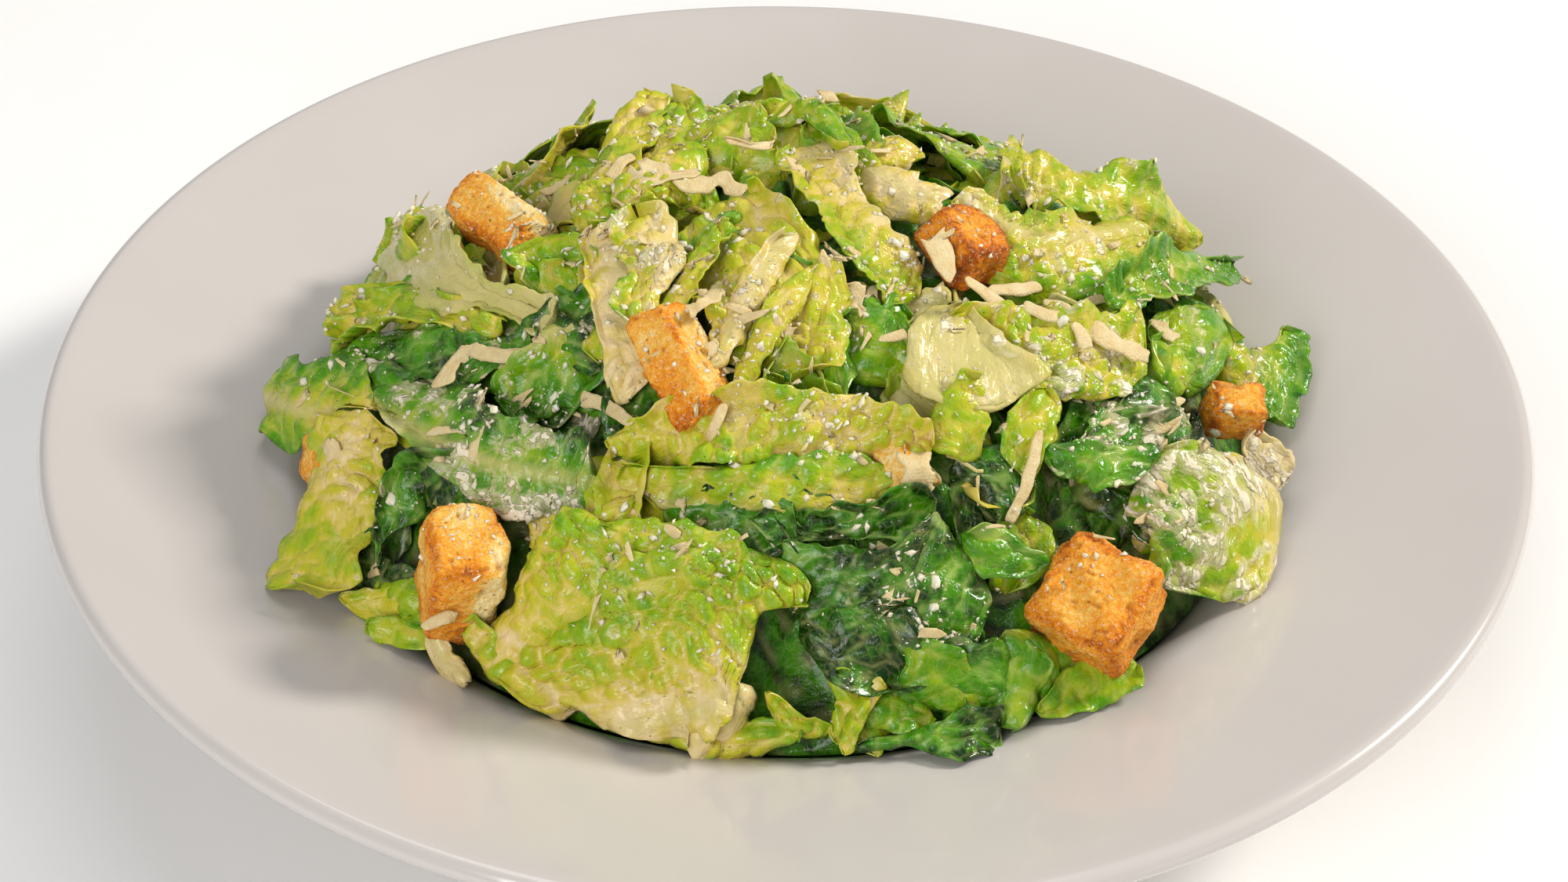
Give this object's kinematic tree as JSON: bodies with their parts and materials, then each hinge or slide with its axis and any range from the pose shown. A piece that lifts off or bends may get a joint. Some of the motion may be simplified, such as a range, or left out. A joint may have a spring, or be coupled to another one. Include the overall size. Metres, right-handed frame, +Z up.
{
  "type": "caesar salad on a plate",
  "caption": "Caesar salad of torn romaine leaves heaped in the well of a wide-rimmed white plate, with toasted croutons, shredded hard cheese and creamy dressing",
  "frame": {"origin": "on the table, in the middle of the plate's foot ring", "axes": "+Z points up; the front of the salad, with the two large front croutons, faces -Y; +X is its right-hand side"},
  "size_m": [0.2858, 0.2858, 0.0974],
  "materials": {
    "plate": "smooth white glaze",
    "lettuce_heap": "fresh romaine leaves, moist with creamy dressing",
    "crouton": "toasted bread, dry and open-pored"
  },
  "bodies": {
    "root": {"plate": "plate", "lettuce_heap": "lettuce_heap", "crouton_back_left": "crouton", "crouton_centre": "crouton", "crouton_back_right": "crouton", "crouton_front_left": "crouton", "crouton_front_right": "crouton", "crouton_right": "crouton", "crouton_middle": "crouton", "crouton_left": "crouton"}
  },
  "joints": []
}
